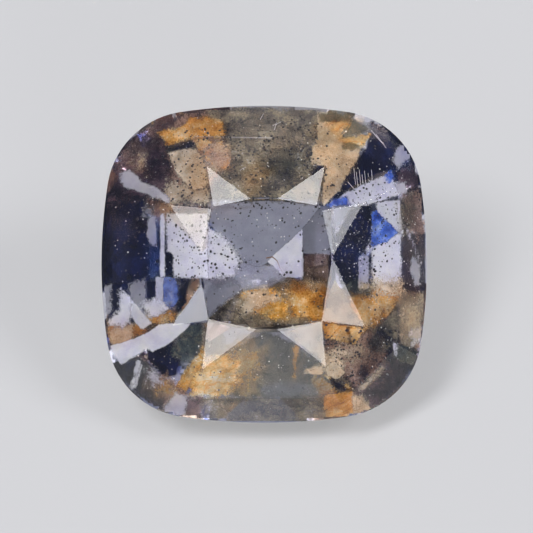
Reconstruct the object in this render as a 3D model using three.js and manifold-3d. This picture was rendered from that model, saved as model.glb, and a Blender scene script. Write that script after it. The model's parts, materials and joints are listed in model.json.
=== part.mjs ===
// A loose faceted spinel, cut as a cushion: a brilliant crown over a step-cut pavilion.
// One solid stone, in millimetres, +Z up. It is cut in its own frame, table upwards and
// girdle level, and then laid down as a loose stone lies: on one facet of its pavilion.
import * as THREE from 'three';
import { mergeVertices } from 'three/addons/utils/BufferGeometryUtils.js';
import Module from 'manifold-3d';

const wasm = await Module();
wasm.setup();

// Outline of the girdle, seen from above: long flat arcs joined by round corners
const WIDTH = 8.0;
const LENGTH = 7.79;
const SIDE_ARC_RADIUS = 12.93;
const END_ARC_RADIUS = 13.88;
const CORNER_RADIUS = 2.115;
const ARC_STEPS = 7;

// Levels above the lower edge of the girdle. The culet is the pavilion's point, and it lies
// a little off the axis.
const TABLE_LEVEL = 1.63;
const CULET = new THREE.Vector3(0, 0.07, -3.97);

// Compass round the stone, in degrees: 0 is its right side, and it counts to the left
const RIGHT = 0;
const TOP = 90;
const LEFT = 180;
const BOTTOM = 270;

// Crown bezels: slope from the girdle plane, and reach from the axis at the table's level
const BEZELS = {
  [RIGHT]: { slope: 28.5, reach: 1.665 },
  [TOP]: { slope: 27, reach: 1.6 },
  [LEFT]: { slope: 27, reach: 1.54 },
  [BOTTOM]: { slope: 26, reach: 1.59 },
  45: { slope: 26.6, reach: 1.935 },
  135: { slope: 26.6, reach: 1.875 },
  225: { slope: 26.2, reach: 1.92 },
  315: { slope: 27.4, reach: 1.98 },
};

// Star facets round the table, each turned a little off the side that it lies on
const STARS = [
  { at: 102, slope: 22.1, reach: 1.635 },
  { at: 81, slope: 22.7, reach: 1.63 },
  { at: 12, slope: 22.1, reach: 1.665 },
  { at: 350.5, slope: 22.2, reach: 1.615 },
  { at: 280, slope: 21.9, reach: 1.62 },
  { at: 258, slope: 21.2, reach: 1.595 },
  { at: 192, slope: 21.7, reach: 1.605 },
  { at: 167, slope: 21.2, reach: 1.565 },
];

// A narrow facet takes the edge between the table and the right bezel
const TABLE_EDGE = { at: RIGHT, slope: 15, reach: 1.637 };

// Girdle facets of the crown: each leaves its bezel at a distance out from the axis, and
// those of the left and right sides are turned about a point that lies along the side
const GIRDLE_FACETS = [
  { at: TOP, slope: 38.5, bezel: TOP, out: 3.105, along: 0 },
  { at: BOTTOM, slope: 38.5, bezel: BOTTOM, out: 3.28, along: 0 },
  { at: 14, slope: 38.5, bezel: RIGHT, out: 3.276, along: 1.733 },
  { at: 2, slope: 40, bezel: RIGHT, out: 3.372, along: 0.743 },
  { at: -1.5, slope: 38, bezel: RIGHT, out: 3.36, along: 0 },
  { at: 170, slope: 33, bezel: LEFT, out: 3.94, along: 0.143 },
  { at: 190, slope: 33, bezel: LEFT, out: 3.94, along: 0.143 },
  { at: 45, slope: 36, bezel: 45, out: 3.74, along: 0 },
  { at: 135, slope: 36, bezel: 135, out: 3.74, along: 0 },
  { at: 225, slope: 36, bezel: 225, out: 3.73, along: 0 },
  { at: 315, slope: 36, bezel: 315, out: 3.74, along: 0 },
];

// Pavilion steps of each side, from the culet outwards: slope, and where the step ends.
// One more step runs from there to the lower edge of the girdle.
const PAVILION_SIDES = [
  { at: RIGHT, half: WIDTH / 2, steps: [{ slope: 35.7, end: 0.95 }, { slope: 40, end: 2.05 }] },
  { at: TOP, half: LENGTH / 2, steps: [{ slope: 36.3, end: 0.95 }, { slope: 47, end: 1.92 }] },
  { at: LEFT, half: WIDTH / 2, steps: [{ slope: 31.9, end: 1.18 }, { slope: 40.5, end: 2.11 }] },
  { at: BOTTOM, half: LENGTH / 2, steps: [{ slope: 39, end: 2.37 }] },
];

// Pavilion corners, from the girdle inwards: two facets, the lower one from a distance out
const CORNER_OUT = 4.53;
const PAVILION_CORNERS = [
  { at: 45, slope: 47.5, lowerSlope: 44.5, lowerOut: 3.4 },
  { at: 135, slope: 57.5, lowerSlope: 44.5, lowerOut: 3.45 },
  { at: 225, slope: 45.5, lowerSlope: 41.5, lowerOut: 3.3 },
  { at: 315, slope: 55.5, lowerSlope: 42, lowerOut: 3.15 },
];

// The stone lies on the inner facet of its pavilion's lower side, which reaches furthest
// out from the culet
const REST_SLOPE = PAVILION_SIDES[3].steps[0].slope;

const ROUGH_MARGIN = 0.5;
const CUTTER_SIZE = 24;

function radians(degrees) {
  return THREE.MathUtils.degToRad(degrees);
}

// How far a facet of this slope falls, or rises, over a run across the stone
function fall(slope, run) {
  return Math.tan(radians(slope)) * run;
}

function toSolid(geometry) {
  const bare = geometry.clone();
  bare.deleteAttribute('normal');
  bare.deleteAttribute('uv');
  const merged = mergeVertices(bare);
  return new wasm.Manifold(new wasm.Mesh({
    numProp: 3,
    vertProperties: merged.attributes.position.array,
    triVerts: new Uint32Array(merged.index.array),
  }));
}

function toFacetedGeometry(solid) {
  const mesh = solid.getMesh();
  const indexed = new THREE.BufferGeometry();
  indexed.setAttribute('position', new THREE.BufferAttribute(mesh.vertProperties, 3));
  indexed.setIndex(new THREE.BufferAttribute(mesh.triVerts, 1));
  const faceted = indexed.toNonIndexed();
  faceted.computeVertexNormals();
  return faceted;
}

// The corner arc touches the side arc and the end arc, so its centre is where two
// circles cross: one round each long arc's centre, smaller than it by the corner's radius
function cornerCentre(sideCentre, endCentre) {
  const fromSide = SIDE_ARC_RADIUS - CORNER_RADIUS;
  const fromEnd = END_ARC_RADIUS - CORNER_RADIUS;
  const apart = Math.hypot(sideCentre, endCentre);
  const along = (fromSide ** 2 - fromEnd ** 2 + apart ** 2) / (2 * apart);
  const across = Math.sqrt(fromSide ** 2 - along ** 2);
  const ux = -sideCentre / apart;
  const uy = endCentre / apart;
  return new THREE.Vector2(sideCentre + ux * along - uy * across, uy * along + ux * across);
}

function girdleOutline() {
  const sideCentre = WIDTH / 2 - SIDE_ARC_RADIUS;
  const endCentre = LENGTH / 2 - END_ARC_RADIUS;
  const corner = cornerCentre(sideCentre, endCentre);
  const sideAngle = Math.atan2(corner.y, corner.x - sideCentre);
  const endAngle = Math.atan2(corner.y - endCentre, corner.x);
  const outline = new THREE.Shape();
  for (const [turn, sign] of [[0, 1], [Math.PI, -1]]) {
    const { x, y } = corner.clone().multiplyScalar(sign);
    outline.absarc(sign * sideCentre, 0, SIDE_ARC_RADIUS, turn - sideAngle, turn + sideAngle);
    outline.absarc(x, y, CORNER_RADIUS, turn + sideAngle, turn + endAngle);
    outline.absarc(0, sign * endCentre, END_ARC_RADIUS, turn + endAngle, turn + Math.PI - endAngle);
    outline.absarc(-x, y, CORNER_RADIUS, turn + Math.PI - endAngle, turn + Math.PI - sideAngle);
  }
  return outline;
}

// A prism of the girdle's outline, a little taller than the finished stone
function preform() {
  const depth = TABLE_LEVEL - CULET.z + 2 * ROUGH_MARGIN;
  const settings = { depth, bevelEnabled: false, curveSegments: ARC_STEPS };
  const prism = new THREE.ExtrudeGeometry(girdleOutline(), settings);
  return prism.translate(0, 0, CULET.z - ROUGH_MARGIN);
}

// A block whose one face lies on a facet: through a point, and facing the compass
// direction at its slope, upwards on the crown (1) and downwards on the pavilion (-1)
function lap(point, at, slope, upwards) {
  const facing = new THREE.Vector3(
    Math.cos(radians(at)) * Math.sin(radians(slope)),
    Math.sin(radians(at)) * Math.sin(radians(slope)),
    upwards * Math.cos(radians(slope)),
  );
  const block = new THREE.BoxGeometry(CUTTER_SIZE, CUTTER_SIZE, CUTTER_SIZE);
  block.applyQuaternion(new THREE.Quaternion().setFromUnitVectors(new THREE.Vector3(0, 0, 1), facing));
  const centre = point.clone().addScaledVector(facing, CUTTER_SIZE / 2);
  return toSolid(block.translate(centre.x, centre.y, centre.z));
}

// The point at a distance out from the axis, and one along the side to the left of that
function pointAt(at, out, level, along = 0) {
  const c = Math.cos(radians(at));
  const s = Math.sin(radians(at));
  return new THREE.Vector3(out * c - along * s, out * s + along * c, level);
}

function crownLaps() {
  const laps = [lap(new THREE.Vector3(0, 0, TABLE_LEVEL), RIGHT, 0, 1)];
  for (const [at, { slope, reach }] of Object.entries(BEZELS)) {
    laps.push(lap(pointAt(Number(at), reach, TABLE_LEVEL), Number(at), slope, 1));
  }
  for (const { at, slope, reach } of [...STARS, TABLE_EDGE]) {
    laps.push(lap(pointAt(at, reach, TABLE_LEVEL), at, slope, 1));
  }
  for (const { at, slope, bezel, out, along } of GIRDLE_FACETS) {
    const level = TABLE_LEVEL - fall(BEZELS[bezel].slope, out - BEZELS[bezel].reach);
    laps.push(lap(pointAt(bezel, out, level, along), at, slope, 1));
  }
  return laps;
}

function pavilionLaps() {
  const laps = [];
  for (const { at, half, steps } of PAVILION_SIDES) {
    let out = CULET.x * Math.cos(radians(at)) + CULET.y * Math.sin(radians(at));
    let level = CULET.z;
    for (const { slope, end } of steps) {
      laps.push(lap(pointAt(at, out, level), at, slope, -1));
      level += fall(slope, end - out);
      out = end;
    }
    const lastSlope = THREE.MathUtils.radToDeg(Math.atan2(-level, half - out));
    laps.push(lap(pointAt(at, half, 0), at, lastSlope, -1));
  }
  for (const { at, slope, lowerSlope, lowerOut } of PAVILION_CORNERS) {
    laps.push(lap(pointAt(at, CORNER_OUT, 0), at, slope, -1));
    const level = -fall(slope, CORNER_OUT - lowerOut);
    laps.push(lap(pointAt(at, lowerOut, level), at, lowerSlope, -1));
  }
  return laps;
}

function cutStone() {
  let stone = toSolid(preform());
  for (const block of [...crownLaps(), ...pavilionLaps()]) {
    stone = stone.subtract(block);
  }
  return toFacetedGeometry(stone);
}

const clearSpinel = new THREE.MeshStandardMaterial({
  color: 0x9a96a8,
  roughness: 0.05,
  metalness: 0,
});

const spinel = new THREE.Mesh(cutStone(), clearSpinel);
spinel.name = 'spinel';
spinel.rotation.x = radians(REST_SLOPE);

// The lowest facet goes on the ground, and the middle of the stone's box over the origin
const box = new THREE.Box3().setFromObject(spinel, true);
const middle = box.getCenter(new THREE.Vector3());
spinel.position.set(-middle.x, -middle.y, -box.min.z);

const stone = new THREE.Group();
stone.add(spinel);

export default stone;
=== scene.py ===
# A loose faceted spinel, lying on one facet of its pavilion, with stained veils inside it.
# Metres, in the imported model's frame. The stone's own directions are right, top and rise:
# across the table, up the table's slope, and straight out of the table.
import itertools
import json
import math

import bmesh
import bpy
from mathutils import Matrix, Vector, noise
from mathutils.bvhtree import BVHTree


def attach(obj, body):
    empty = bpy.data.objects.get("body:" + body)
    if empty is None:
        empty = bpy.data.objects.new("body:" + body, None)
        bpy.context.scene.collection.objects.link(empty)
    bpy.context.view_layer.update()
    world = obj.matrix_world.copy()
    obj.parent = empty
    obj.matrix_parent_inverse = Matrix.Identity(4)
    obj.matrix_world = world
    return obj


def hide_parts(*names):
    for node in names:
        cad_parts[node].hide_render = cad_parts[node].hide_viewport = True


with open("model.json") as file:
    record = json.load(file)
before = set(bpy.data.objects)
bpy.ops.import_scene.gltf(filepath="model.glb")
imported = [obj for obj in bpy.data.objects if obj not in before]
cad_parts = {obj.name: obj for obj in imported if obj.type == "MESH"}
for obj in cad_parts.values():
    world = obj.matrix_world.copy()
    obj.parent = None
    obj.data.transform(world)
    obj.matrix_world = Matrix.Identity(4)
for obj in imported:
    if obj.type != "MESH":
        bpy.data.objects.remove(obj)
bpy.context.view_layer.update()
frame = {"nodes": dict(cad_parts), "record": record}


# The cut stone: one crystal of clear, faintly lavender spinel, ground facet by facet on a
# lap and polished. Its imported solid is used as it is, with the sharp edges a little worn.
MM = 0.001
EDGE_WEAR = 0.012 * MM
SHARP_ANGLE = 5
MERGE_DISTANCE = 1e-8
FLAT_ANGLE = 0.3
SPINEL_IOR = 1.718
LAVENDER = "c9c4ee"
LAVENDER_DENSITY = 40.0

table = next(m for m in frame["record"]["mounts"] if m["name"] == "table")
rise = Vector(table["axis"]).normalized()
right = Vector((1, 0, 0))
top = rise.cross(right).normalized()
table_middle = Vector(table["pos_m"])


def in_stone(x, y, z):
    """A point in the frame, from millimetres right, top and rise of the table's middle."""
    return table_middle + (right * x + top * y + rise * z) * MM


def linear(hex_code):
    """The linear colour of an sRGB hex value, with an alpha of 1."""
    parts = [int(hex_code[i:i + 2], 16) / 255 for i in (0, 2, 4)]
    return tuple(p / 12.92 if p <= 0.04045 else ((p + 0.055) / 1.055) ** 2.4 for p in parts) + (1.0,)


def add_node(tree, kind, settings=None, **links):
    """A node with its settings, and with its inputs set to a value or linked to a socket."""
    node = tree.nodes.new(kind)
    for name, value in (settings or {}).items():
        setattr(node, name, value)
    for name, value in links.items():
        spot = int(name[1:]) if name[1:].isdigit() else name.replace("_", " ")
        if isinstance(value, bpy.types.NodeSocket):
            tree.links.new(value, node.inputs[spot])
        else:
            node.inputs[spot].default_value = value
    return node


def new_material(name):
    """An empty node material and its output node."""
    material = bpy.data.materials.new(name)
    material.use_nodes = True
    material.node_tree.nodes.clear()
    return material, add_node(material.node_tree, "ShaderNodeOutputMaterial")


# Polished spinel: clear, with a high index, so that its back facets mirror. The faint
# lavender builds up with the length of the light's path through the stone.
polished_spinel, finish = new_material("polished_spinel")
tree = polished_spinel.node_tree
shine = add_node(
    tree, "ShaderNodeBsdfPrincipled",
    Base_Color=(1, 1, 1, 1), Roughness=0.0, IOR=SPINEL_IOR, Transmission_Weight=1.0,
)
tint = add_node(
    tree, "ShaderNodeVolumeAbsorption", Color=linear(LAVENDER), Density=LAVENDER_DENSITY,
)
tree.links.new(shine.outputs["BSDF"], finish.inputs["Surface"])
tree.links.new(tint.outputs["Volume"], finish.inputs["Volume"])

stone_mesh = frame["nodes"]["spinel"].data.copy()
stone_mesh.name = "cut_stone"
cut = bmesh.new()
cut.from_mesh(stone_mesh)
bmesh.ops.remove_doubles(cut, verts=cut.verts, dist=MERGE_DISTANCE)
bmesh.ops.dissolve_limit(
    cut, angle_limit=math.radians(FLAT_ANGLE), verts=cut.verts, edges=cut.edges,
)
cut.to_mesh(stone_mesh)
cut.free()
stone_mesh.shade_flat()
stone_mesh.materials.clear()
stone_mesh.materials.append(polished_spinel)
stone = bpy.data.objects.new("cut_stone", stone_mesh)
bpy.context.scene.collection.objects.link(stone)
wear = stone.modifiers.new("worn_edges", "BEVEL")
wear.width = EDGE_WEAR
wear.segments = 1
wear.limit_method = "ANGLE"
wear.angle_limit = math.radians(SHARP_ANGLE)
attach(stone, "root")
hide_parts("spinel")


# Stained veils: healed cracks and growth layers in the crystal, a little way under its
# crown, filled with rusty clay and dust; a few sets are painted shade or painted fire
# instead, as said at each. Each is a thin, uneven film with a ragged rim. It filters the
# light that passes through it, and its dust scatters a share, the haze, back. Lengths are in
# millimetres.
FILM_GRAIN = 0.07
FILM_WAVE = 0.03
WAVES_PER_MM = 1.3
WAVE_SHIFT = 7
FILM_MARGIN = 0.04
ABOVE_TABLE = 1.0
GIRDLE_STEEPNESS = 0.5
FILM_STEP = 0.0006
# The ragged rim: noise at two sizes is added to the cover, and the film starts at a level
TATTER_SIZE = 0.25
TATTER_DEPTH = 1.4
FRAY_SIZE = 0.04
FRAY_DEPTH = 0.6
RIM_LEVEL = 0.5
# The filling's grit, folds and drifts, and the share of its glow that comes from behind
GRIT_SIZE = 0.04
FOLD_WIDTH = 0.07
FOLD_SHADE = 0.55
DRIFT_SIZE = 0.7
THROUGH_SHARE = 0.4
NOISE_LOW = 0.3
NOISE_HIGH = 0.7
RAMP_START = 0.1
RAMP_LENGTH = 0.8

film_count = itertools.count()

stone_shell = BVHTree.FromObject(stone, bpy.context.evaluated_depsgraph_get())


def under_crown(x, y, gap):
    """The point that shows at x, y through the crown, a gap under it in millimetres, or just
    inside the pavilion where the stone isn't as deep as that. None beside the crown."""
    crown, facing, _, _ = stone_shell.ray_cast(in_stone(x, y, ABOVE_TABLE), -rise)
    if crown is None or facing.dot(rise) < GIRDLE_STEEPNESS:
        return None
    ratio = 1 / SPINEL_IOR
    straight = facing.dot(rise)
    bent = facing * (ratio * straight - math.sqrt(1 - ratio ** 2 * (1 - straight ** 2))) - rise * ratio
    _, _, _, depth = stone_shell.ray_cast(crown + bent * FILM_MARGIN * MM, bent)
    margin = FILM_MARGIN * (1 + min(gap, 1))
    return crown + bent * min(gap * MM, (depth or 0) - margin * MM)


def depth_inside(point, outline):
    """How far inside an outline a point lies, and less than 0 outside it."""
    nearest, inside = math.inf, False
    for a, b in zip(outline, outline[1:] + outline[:1]):
        edge = b - a
        share = min(max((point - a).dot(edge) / edge.length_squared, 0), 1)
        nearest = min(nearest, (point - a - edge * share).length)
        if (a.y > point.y) != (b.y > point.y):
            crossing = a.x + (b.x - a.x) * (point.y - a.y) / (b.y - a.y)
            inside = inside != (point.x < crossing)
    return nearest if inside else -nearest


def add_film(film, outline, gap, rim, strength):
    """One film under an outline in millimetres, a step above the one before. Its cover is how
    many rims deep inside the outline a point lies, and its strength is how much it holds."""
    gap = gap - next(film_count) * FILM_STEP
    cover = film.verts.layers.float["cover"]
    filled = film.verts.layers.float["strength"]
    outline = [Vector(corner) for corner in outline]
    low_x, low_y = (min(c[i] for c in outline) - rim for i in (0, 1))
    high_x, high_y = (max(c[i] for c in outline) + rim for i in (0, 1))
    columns = math.ceil((high_x - low_x) / FILM_GRAIN)
    rows = math.ceil((high_y - low_y) / FILM_GRAIN)
    furthest = rim + 1.5 * FILM_GRAIN
    points = {}
    for row in range(rows + 1):
        for column in range(columns + 1):
            spot = Vector((low_x + column * FILM_GRAIN, low_y + row * FILM_GRAIN))
            inside = depth_inside(spot, outline)
            if inside < -furthest:
                continue
            at = Vector((spot.x, spot.y, gap * WAVE_SHIFT)) * WAVES_PER_MM
            place = under_crown(spot.x, spot.y, gap + noise.noise(at) * FILM_WAVE)
            if place is None:
                continue
            point = film.verts.new(place)
            point[cover] = inside / rim
            point[filled] = strength
            points[row, column] = point
    for row, column in points:
        corners = [(row, column), (row, column + 1), (row + 1, column + 1), (row + 1, column)]
        if all(corner in points for corner in corners):
            film.faces.new([points[corner] for corner in corners])


def film_mesh(name, films):
    """The mesh of several films."""
    film = bmesh.new()
    film.verts.layers.float.new("cover")
    film.verts.layers.float.new("strength")
    for outline, gap, rim, strength in films:
        add_film(film, outline, gap, rim, strength)
    mesh = bpy.data.meshes.new(name)
    film.to_mesh(mesh)
    film.free()
    return mesh


def film_piece(name, material, films):
    """One piece made of several films of the same filling."""
    mesh = film_mesh(name, films)
    mesh.materials.append(material)
    piece = bpy.data.objects.new(name, mesh)
    bpy.context.scene.collection.objects.link(piece)
    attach(piece, "root")


def noise_value(tree, place, size, detail=4.0, roughness=0.6):
    """Fractal noise with features of a size in millimetres, spread to fill 0 to 1."""
    cloud = add_node(
        tree, "ShaderNodeTexNoise",
        Vector=place, Scale=1 / (size * MM), Detail=detail, Roughness=roughness,
    )
    spread = add_node(
        tree, "ShaderNodeMapRange", _0=cloud.outputs["Fac"], _1=NOISE_LOW, _2=NOISE_HIGH,
    )
    return spread.outputs["Result"]


def math_value(tree, operation, *numbers, clamp=False):
    """The result of one sum of numbers or sockets."""
    links = {f"_{i}": number for i, number in enumerate(numbers)}
    settings = {"operation": operation, "use_clamp": clamp}
    return add_node(tree, "ShaderNodeMath", settings, **links).outputs["Value"]


def filling(
    name, colours, blotch, haze,
    patchy=0.5, grit=0.15, folds=0.0, stretch=(1, 1, 1), turn=0.0,
):
    """A film's filling, from dark to pale over blotches of a size in millimetres, mixed with a
    share of fine grit. Its haze varies by the patchy share of itself, and thin, dark folds
    wind through it at a size in millimetres. Blotches and folds are stretched along the
    stone's directions, turned by an angle in degrees."""
    material, finish = new_material(name)
    tree = material.node_tree
    place = add_node(tree, "ShaderNodeTexCoord").outputs["Object"]
    lay = Matrix((right, top, rise)).transposed() @ Matrix.Rotation(math.radians(turn), 3, "Z")
    lined = add_node(
        tree, "ShaderNodeMapping", {"vector_type": "TEXTURE"},
        Vector=place, Scale=stretch, Rotation=tuple(lay.to_euler()),
    ).outputs["Vector"]
    blotches = noise_value(tree, lined, blotch, detail=8.0, roughness=0.65)
    coarse = math_value(tree, "MULTIPLY", blotches, 1 - grit)
    grains = noise_value(tree, place, GRIT_SIZE, detail=2.0, roughness=0.7)
    shade = math_value(tree, "MULTIPLY_ADD", grains, grit, coarse)
    if folds:
        hills = noise_value(tree, lined, folds, detail=3.0, roughness=0.5)
        off_fold = math_value(tree, "ABSOLUTE", math_value(tree, "SUBTRACT", hills, 0.5))
        fold = add_node(
            tree, "ShaderNodeMapRange", _0=off_fold, _1=0.0, _2=FOLD_WIDTH, _3=FOLD_SHADE,
        )
        shade = math_value(tree, "MULTIPLY", shade, fold.outputs["Result"])
    shades = add_node(tree, "ShaderNodeValToRGB", Fac=shade)
    ramp = shades.color_ramp
    while len(ramp.elements) < len(colours):
        ramp.elements.new(0.5)
    for i, code in enumerate(colours):
        ramp.elements[i].position = RAMP_START + RAMP_LENGTH * i / (len(colours) - 1)
        ramp.elements[i].color = linear(code)
    colour = shades.outputs["Color"]
    cover = add_node(tree, "ShaderNodeAttribute", {"attribute_name": "cover"}).outputs["Fac"]
    filled = add_node(tree, "ShaderNodeAttribute", {"attribute_name": "strength"}).outputs["Fac"]
    tatter = noise_value(tree, place, TATTER_SIZE, detail=6.0, roughness=0.75)
    fray = noise_value(tree, place, FRAY_SIZE, detail=2.0)
    tattered = math_value(tree, "MULTIPLY_ADD", tatter, TATTER_DEPTH, cover)
    torn = math_value(tree, "MULTIPLY_ADD", fray, FRAY_DEPTH, tattered)
    ragged = math_value(tree, "SUBTRACT", torn, RIM_LEVEL, clamp=True)
    full = math_value(tree, "MULTIPLY", ragged, filled)
    filter_tint = add_node(
        tree, "ShaderNodeMix", {"data_type": "RGBA"}, _0=full, _6=(1, 1, 1, 1), _7=colour,
    )
    clear = add_node(tree, "ShaderNodeBsdfTransparent", Color=filter_tint.outputs[2])
    dust = add_node(
        tree, "ShaderNodeBsdfPrincipled",
        Base_Color=colour, Roughness=0.9, Specular_IOR_Level=0.0,
    )
    glow = add_node(tree, "ShaderNodeBsdfTranslucent", Color=colour)
    lit = add_node(
        tree, "ShaderNodeMixShader",
        _0=THROUGH_SHARE, _1=dust.outputs["BSDF"], _2=glow.outputs["BSDF"],
    )
    drift = noise_value(tree, place, blotch * DRIFT_SIZE)
    uneven = math_value(tree, "MULTIPLY_ADD", drift, 2 * patchy * haze, (1 - patchy) * haze)
    share = math_value(tree, "MULTIPLY", full, uneven, clamp=True)
    both = add_node(
        tree, "ShaderNodeMixShader",
        _0=share, _1=clear.outputs["BSDF"], _2=lit.outputs["Shader"],
    )
    tree.links.new(both.outputs["Shader"], finish.inputs["Surface"])
    return material


# Umber films are brown and rose, ground with fine grit. They lie under most of the
# brighter stains, which fade out over them.
umber = filling("rose_umber", ("30282a", "8a7066", "cfb09e", "e6d8d0"), 0.8, 0.6, grit=0.4)
film_piece("umber_veils", umber, [
    ([(-2.75, 3.45), (-2.0, 3.75), (-0.8, 3.9), (-0.9, 2.4), (-1.35, 1.5), (-2.3, 1.5), (-2.6, 1.9),
      (-2.5, 2.6)], 0.5, 0.3, 0.97),
    ([(1.4, -0.6), (3.35, -0.7), (3.9, -1.0), (3.85, -2.0), (3.2, -3.3), (2.2, -3.8), (1.5, -3.85)],
     0.6, 0.1, 0.95),
    ([(1.45, -1.8), (1.7, -1.85), (2.1, -1.95), (2.55, -1.55), (3.05, -1.75), (3.15, -1.95), (2.9, -2.5),
      (2.35, -3.05), (1.95, -2.8), (1.6, -2.15)], 0.4, 0.2, 0.95),
    ([(3.4, 1.8), (3.85, 1.85), (3.98, 0.75), (3.4, 0.7)], 0.25, 0.15, 0.95),
    ([(-2.75, -2.75), (-2.3, -2.85), (-1.9, -3.1), (-2.1, -3.5), (-2.7, -3.3)], 0.25, 0.25, 0.9),
    ([(0.98, 0.25), (1.62, 0.25), (1.56, -0.55), (0.98, -0.35)], 0.5, 0.04, 0.55),
    ([(3.44, 0.69), (3.84, 0.79), (3.93, 0.35), (3.69, 0.05), (3.44, 0.2)], 0.27, 0.3, 0.6),
    ([(3.44, -0.09), (3.64, 0.05), (3.79, -0.54), (3.54, -0.68)], 0.27, 0.3, 0.5),
    ([(2.8, 3.55), (3.15, 3.35), (3, 3.11), (2.65, 3.25)], 0.4, 0.3, 0.5),
    ([(-2.86, 1.65), (-2.34, 1.53), (-2, 0.94), (-2.39, 1.04), (-2.71, 1.14), (-2.86, 1.38)],
     0.3, 0.1, 0.95),
    ([(-3.35, 3.3), (-2.91, 3.5), (-2.56, 3.4), (-2.61, 3.06), (-2.91, 2.61), (-3.45, 2.56),
      (-3.6, 2.76)], 0.36, 0.3, 0.5),
    ([(2.24, -2.26), (2.56, -2.16), (2.65, -2.51), (2.36, -2.65)], 0.34, 0.3, 0.5),
    ([(-1.38, 1.48), (-0.05, 1.41), (-1.31, 1.28)], 0.15, 0.1, 0.2),
    ([(0.93, 0.23), (1.62, 0.23), (1.57, -0.49), (0.93, -0.34)], 0.44, 0.05, 0.5),
])

# Violet films lie where the crystal was bruised.
violet = filling("violet_bruise", ("241c2c", "4e3e48", "8c7078", "c09a90"), 0.8, 0.6, grit=0.25)
film_piece("violet_veils", violet, [
    ([(-3.9, 1.5), (-3.75, 2.1), (-3.6, 2.6), (-3.2, 3.1), (-2.65, 3.5), (-2.2, 3.55), (-2.45, 2.7),
      (-2.3, 2.1), (-2.5, 1.6), (-2.95, 1.6), (-3.5, 1.5)], 0.4, 0.25, 0.97),
    ([(2.9, -2.5), (3.15, -2.25), (3.65, -2.5), (3.55, -2.85), (3.15, -3.3), (2.65, -3.6), (2.2, -3.1),
      (2.55, -2.9)], 0.3, 0.2, 0.97),
    ([(3.25, 2.3), (3.65, 2.55), (3.85, 2.05), (3.8, 1.85), (3.35, 1.85), (3.25, 2.05)], 0.25, 0.1, 0.95),
    ([(-3.15, -3.15), (-2.9, -2.4), (-2.5, -2.8), (-2.15, -3.1), (-2.5, -3.6)], 0.3, 0.2, 0.9),
    ([(-2.0, -3.3), (-1.55, -3.3), (-1.55, -3.85), (-2.0, -3.75)], 0.2, 0.15, 0.8),
    ([(2.65, -1.62), (3.15, -1.42), (3.34, -1.72), (3.05, -2.11), (2.65, -2.01)], 0.34, 0.25, 0.5),
    ([(1.42, -2.95), (2.06, -2.8), (2.16, -3.15), (1.62, -3.24)], 0.34, 0.2, 0.45),
    ([(-3.89, 1.83), (-3.11, 1.63), (-2.86, 1.04), (-3.45, 0.4), (-3.97, 0.6)], 0.5, 0.4, 0.2),
    ([(-3.94, 1.88), (-3.35, 1.88), (-3.25, 1.63), (-3.6, 1.53)], 0.3, 0.2, 0.8),
])
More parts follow.
